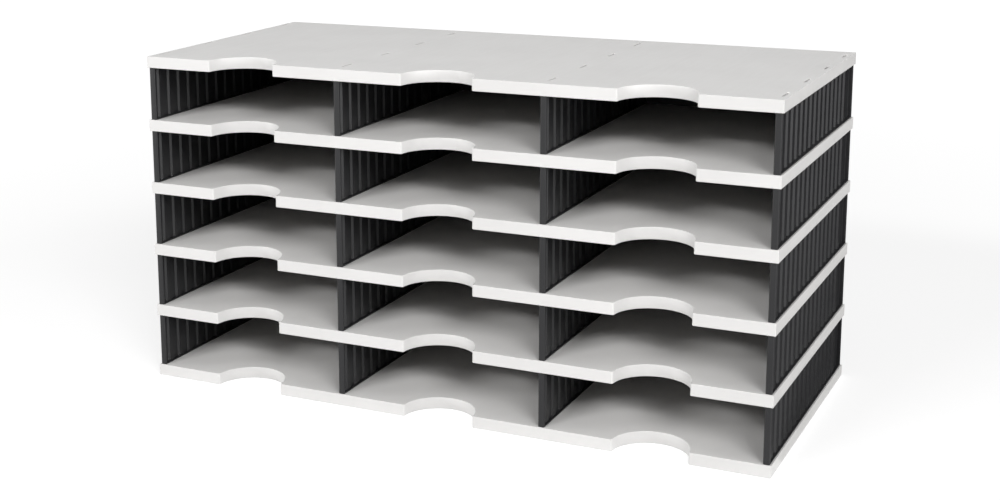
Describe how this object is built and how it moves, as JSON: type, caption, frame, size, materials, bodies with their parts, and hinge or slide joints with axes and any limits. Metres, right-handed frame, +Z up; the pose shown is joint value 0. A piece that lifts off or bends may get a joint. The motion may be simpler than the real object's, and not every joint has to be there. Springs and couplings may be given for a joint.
{
  "type": "desktop sorter",
  "caption": "Desktop sorter for flat papers: light grey shelves with half-round thumb notches, plugged together with black fluted walls into open-fronted compartments, closed at the back.",
  "frame": {"origin": "on the surface that the sorter stands on, at the middle of its footprint", "axes": "+X to the right along the width, +Y from the open front to the closed back, +Z up"},
  "size_m": [0.723, 0.331, 0.378],
  "materials": {
    "shelf_grey": "satin",
    "wall_black": "satin",
    "back_black": "matt"
  },
  "bodies": {
    "root": {"shelf_1": "shelf_grey", "shelf_2": "shelf_grey", "shelf_3": "shelf_grey", "shelf_4": "shelf_grey", "shelf_5": "shelf_grey", "shelf_6": "shelf_grey", "wall_1_1": "wall_black", "wall_1_2": "wall_black", "wall_1_3": "wall_black", "wall_1_4": "wall_black", "wall_2_1": "wall_black", "wall_2_2": "wall_black", "wall_2_3": "wall_black", "wall_2_4": "wall_black", "wall_3_1": "wall_black", "wall_3_2": "wall_black", "wall_3_3": "wall_black", "wall_3_4": "wall_black", "wall_4_1": "wall_black", "wall_4_2": "wall_black", "wall_4_3": "wall_black", "wall_4_4": "wall_black", "wall_5_1": "wall_black", "wall_5_2": "wall_black", "wall_5_3": "wall_black", "wall_5_4": "wall_black", "back_1_1": "back_black", "back_1_2": "back_black", "back_1_3": "back_black", "back_2_1": "back_black", "back_2_2": "back_black", "back_2_3": "back_black", "back_3_1": "back_black", "back_3_2": "back_black", "back_3_3": "back_black", "back_4_1": "back_black", "back_4_2": "back_black", "back_4_3": "back_black", "back_5_1": "back_black", "back_5_2": "back_black", "back_5_3": "back_black"}
  },
  "joints": []
}
